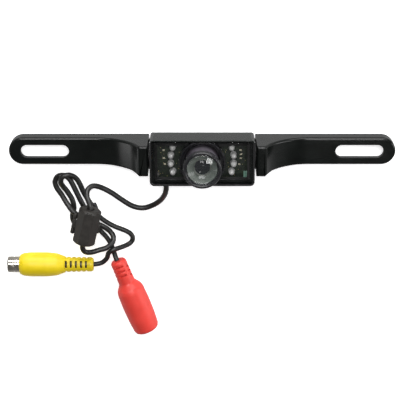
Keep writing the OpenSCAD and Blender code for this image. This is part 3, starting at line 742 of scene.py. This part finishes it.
CONE_STEPS = 9
CONE_OUT = 7.3
CONE_IN = 4.5
cone_profile = [(BORE_R, CONE_LOW), (BORE_R, CONE_TOP), (CONE_OUT, CONE_TOP)]
for i in range(CONE_STEPS):
    step_out = CONE_OUT - (CONE_OUT - CONE_IN) * i / CONE_STEPS
    step_in = CONE_OUT - (CONE_OUT - CONE_IN) * (i + 1) / CONE_STEPS
    step_z = CONE_TOP - (CONE_TOP - CONE_LOW - 0.6) * (i + 1) / CONE_STEPS
    cone_profile.extend([(step_out - 0.04, step_z + 0.05), (step_in + 0.04, step_z)])
cone_profile.extend([(3.82, CONE_LOW + 0.3), (3.8, CONE_LOW)])
cone = lathe("lens_baffle", cone_profile, closed=True, radius=0.08, steps=2)
dress(cone, "camera", "gloss_black", "lens_cone", finish="cone_grey")
retainer = round_ring("lens_retainer", 4.25, 31.35, 0.3)
dress(retainer, "camera", "nickel", finish="retainer_satin")
cell = lathe("lens_holder", [
    (3.8, 13.2), (CELL_R, 13.2), (CELL_R, CONE_LOW), (4.4, CONE_LOW), (4.2, 30.4), (3.8, 30.4),
], closed=True)
dress(cell, "camera", "gloss_black", "lens_cell")
element = link(lathe_mesh("coated_element", dome(3.78, 26.6, 31.38, 7.0)), "coated_element")
dress(element, "camera", "lens_glass", "inner_lens", finish="coated_lens")
seal = round_ring("barrel_o_ring", 8.65, 17.3, 0.34)
dress(seal, "camera", "seal_rubber", "barrel_seal")

# ---------------------------------------------------------------- lamps and board
LED_R = 1.48
LED_DOME_Z = 3.1
LED_Z = 16.8
LED_XY = [(s * x, y) for s in (-1, 1) for x, y in ((14.8, 6.45), (15.8, 2.15), (15.8, -2.15),
                                                   (14.8, -6.45))]
CHIP_XY = [(19.4, 4.4), (19.4, 2.2), (19.4, 0.2), (18.8, -3), (-19.4, 4.4), (-19.4, 0.2),
           (-18.8, -3)]

led_profile = [(0, 0), (1.74, 0), (1.74, 0.85), (LED_R, 0.95), (LED_R, LED_DOME_Z)]
led_profile += [(LED_R * math.cos(a), LED_DOME_Z + LED_R * math.sin(a))
                for a in (math.pi / 2 * k / 8 for k in range(1, 8))]
led_profile.append((0, LED_DOME_Z + LED_R))
led_mesh = lathe_mesh("lamp", led_profile, 48)
lamps = joined("lamp_domes", [moved(led_mesh, x, y, LED_Z) for x, y in LED_XY])
dress(lamps, "camera", "lamp_resin", "infrared_lamps")
cup_profile = [(0, 1.0), (0.75, 1.0), (1.22, 2.5), (1.32, 2.5), (1.0, 0.9), (0, 0.9)]
cup_mesh = lathe_mesh("cup", fillet(cup_profile, 0.08, 2), 40)
post_mesh = boxes_mesh("post", [((-0.18, -0.18, 1.02), (0.18, 0.18, 1.2)),
                                ((-1.2, -0.15, 0.2), (-0.5, 0.15, 0.9)),
                                ((0.5, -0.15, 0.2), (1.2, 0.15, 0.9))])
cups = joined("lamp_reflectors", [moved(m, x, y, LED_Z, random.uniform(-0.5, 0.5))
                                  for x, y in LED_XY for m in (cup_mesh, post_mesh)])
dress(cups, "camera", "lamp_resin", finish="lamp_cup")

refined("lamp_board", "lamp_circuit", "camera", "circuit_board", 0.06)
chips = joined("chip_bodies", [boxes_mesh("chip", [
    ((x - 0.5, y - 0.38, LED_Z), (x + 0.5, y + 0.38, LED_Z + 0.48))]) for x, y in CHIP_XY])
soften(chips, 0.05)
dress(chips, "camera", "chip_body", "lamp_resistors")
ends = joined("chip_ends", [boxes_mesh("end", [
    ((x + s * 0.64 - 0.15, y - 0.39, LED_Z), (x + s * 0.64 + 0.15, y + 0.39, LED_Z + 0.5))
    for s in (-1, 1)]) for x, y in CHIP_XY])
soften(ends, 0.05)
dress(ends, "camera", "nickel")
refined("light_sensor", "day_night_sensor", "camera", "sensor_body", 0.1)

# ---------------------------------------------------------------- CAD nodes that stay
for node_name, node in NODES.items():
    if not node.hide_render:
        slot_name = SLOT_OF[node_name]
        node.data.materials.clear()
        node.data.materials.append(MATERIALS[slot_name])

# ---------------------------------------------------------------- floor and light
floor_mesh = bpy.data.meshes.new("floor")
FLOOR_HALF = 3.0
FLOOR_DROP = 0.2 * MM
corners = [(x * FLOOR_HALF, y * FLOOR_HALF, 0) for x, y in ((-1, -1), (1, -1), (1, 1), (-1, 1))]
floor_mesh.from_pydata(corners, [], [(0, 1, 2, 3)])
floor = link(floor_mesh, "floor")
floor.location.z = -FLOOR_DROP
paper = Nodes("paper")
tone = paper.mix(paper.noise(60, 3), (0.90, 0.90, 0.90), (0.94, 0.94, 0.94))
paper.link(tone, paper.shader.inputs["Base Color"])
paper.shader.inputs["Roughness"].default_value = 0.9
paper.shader.inputs["Emission Color"].default_value = (1, 1, 1, 1)
paper.shader.inputs["Emission Strength"].default_value = 0.65
floor.data.materials.append(paper.material)
floor.visible_glossy = False


def softbox(name, at, aim, size, power):
    data = bpy.data.lights.new(name, "AREA")
    data.shape = "RECTANGLE"
    data.size, data.size_y = size
    data.energy = power
    made = bpy.data.objects.new(name, data)
    made.location = at
    made.rotation_mode = "QUATERNION"
    made.rotation_quaternion = (Vector(aim) - Vector(at)).to_track_quat("-Z", "Y")
    bpy.context.scene.collection.objects.link(made)


softbox("top_box", (0.1, 1.1, 0.4), (0, 0, 0), (1.5, 0.35), 13)
softbox("right_box", (1.1, 0.1, 0.4), (0.05, 0, 0), (0.35, 0.9), 5)
softbox("left_box", (-1.2, -0.3, 0.12), (0, -0.03, 0), (0.12, 0.8), 1.0)
softbox("front_box", (0, 0.5, 1.0), (0, 0, 0), (0.7, 0.35), 7.5)
softbox("lens_window", (0.236, -0.05, 1.17), (0, 0, 0.03), (0.2, 0.2), 1.1)

world = bpy.data.worlds.new("studio")
bpy.context.scene.world = world
world.use_nodes = True
background = world.node_tree.nodes["Background"]
background.inputs["Color"].default_value = (1, 1, 1, 1)
FADE_FROM_Z = -0.5
FADE_TO_Z = 0.5
BELOW_STRENGTH = 0.5
ABOVE_STRENGTH = 0.15
sky = world.node_tree.nodes.new("ShaderNodeTexCoord")
split = world.node_tree.nodes.new("ShaderNodeSeparateXYZ")
fade = world.node_tree.nodes.new("ShaderNodeMapRange")
fade_range = (FADE_FROM_Z, FADE_TO_Z, BELOW_STRENGTH, ABOVE_STRENGTH)
for socket, number in zip(fade.inputs[1:5], fade_range):
    socket.default_value = number
world.node_tree.links.new(sky.outputs["Generated"], split.inputs["Vector"])
world.node_tree.links.new(split.outputs["Z"], fade.inputs["Value"])
world.node_tree.links.new(fade.outputs["Result"], background.inputs["Strength"])
bpy.context.scene.view_settings.view_transform = "Standard"
